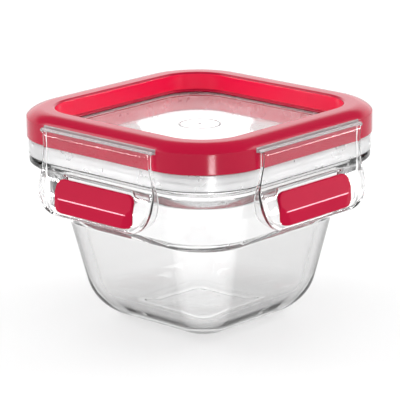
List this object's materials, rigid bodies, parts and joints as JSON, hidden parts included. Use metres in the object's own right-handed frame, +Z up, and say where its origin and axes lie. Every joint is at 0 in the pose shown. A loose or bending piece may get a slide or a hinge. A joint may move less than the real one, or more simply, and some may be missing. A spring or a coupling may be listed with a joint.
{
  "type": "glass storage container",
  "caption": "Square glass food box with a clear clip-down lid, a soft coloured frame with a recessed window, and a fold-out clip with a grip pad on each side.",
  "frame": {"origin": "middle of the plane that the foot stands on", "axes": "+Z up towards the lid; the four clips face -Y (front), +X (right), +Y and -X"},
  "size_m": [0.1096, 0.1096, 0.0766],
  "materials": {
    "clear_glass": "polished clear pressed glass",
    "clear_lid": "clear, slightly milky polypropylene",
    "clear_clip": "clear polished plastic",
    "red_frame": "red satin soft plastic",
    "red_grip": "red satin soft-touch plastic",
    "seal": "translucent white silicone"
  },
  "bodies": {
    "bowl": {"glass_bowl": "clear_glass"},
    "lid": {"lid_panel": "clear_lid", "lid_frame": "red_frame", "lid_seal": "seal", "hinge_strip_front": "clear_clip", "hinge_strip_right": "clear_clip", "hinge_strip_back": "clear_clip", "hinge_strip_left": "clear_clip"},
    "clip_front": {"clip_front": "clear_clip", "grip_front": "red_grip"},
    "clip_right": {"clip_right": "clear_clip", "grip_right": "red_grip"},
    "clip_back": {"clip_back": "clear_clip", "grip_back": "red_grip"},
    "clip_left": {"clip_left": "clear_clip", "grip_left": "red_grip"}
  },
  "joints": [
    {"name": "lid_lift", "type": "slide", "parent": "bowl", "child": "lid", "axis": [0, 0, 1], "range_m": [0, 0.072]},
    {"name": "clip_front_hinge", "type": "hinge", "parent": "lid", "child": "clip_front", "pos_m": [0, -0.0511, 0.07295], "axis": [-1, 0, 0], "range_deg": [0, 120]},
    {"name": "clip_right_hinge", "type": "hinge", "parent": "lid", "child": "clip_right", "pos_m": [0.0511, 0, 0.07295], "axis": [0, -1, 0], "range_deg": [0, 120]},
    {"name": "clip_back_hinge", "type": "hinge", "parent": "lid", "child": "clip_back", "pos_m": [0, 0.0511, 0.07295], "axis": [1, 0, 0], "range_deg": [0, 120]},
    {"name": "clip_left_hinge", "type": "hinge", "parent": "lid", "child": "clip_left", "pos_m": [-0.0511, 0, 0.07295], "axis": [0, 1, 0], "range_deg": [0, 120]}
  ]
}
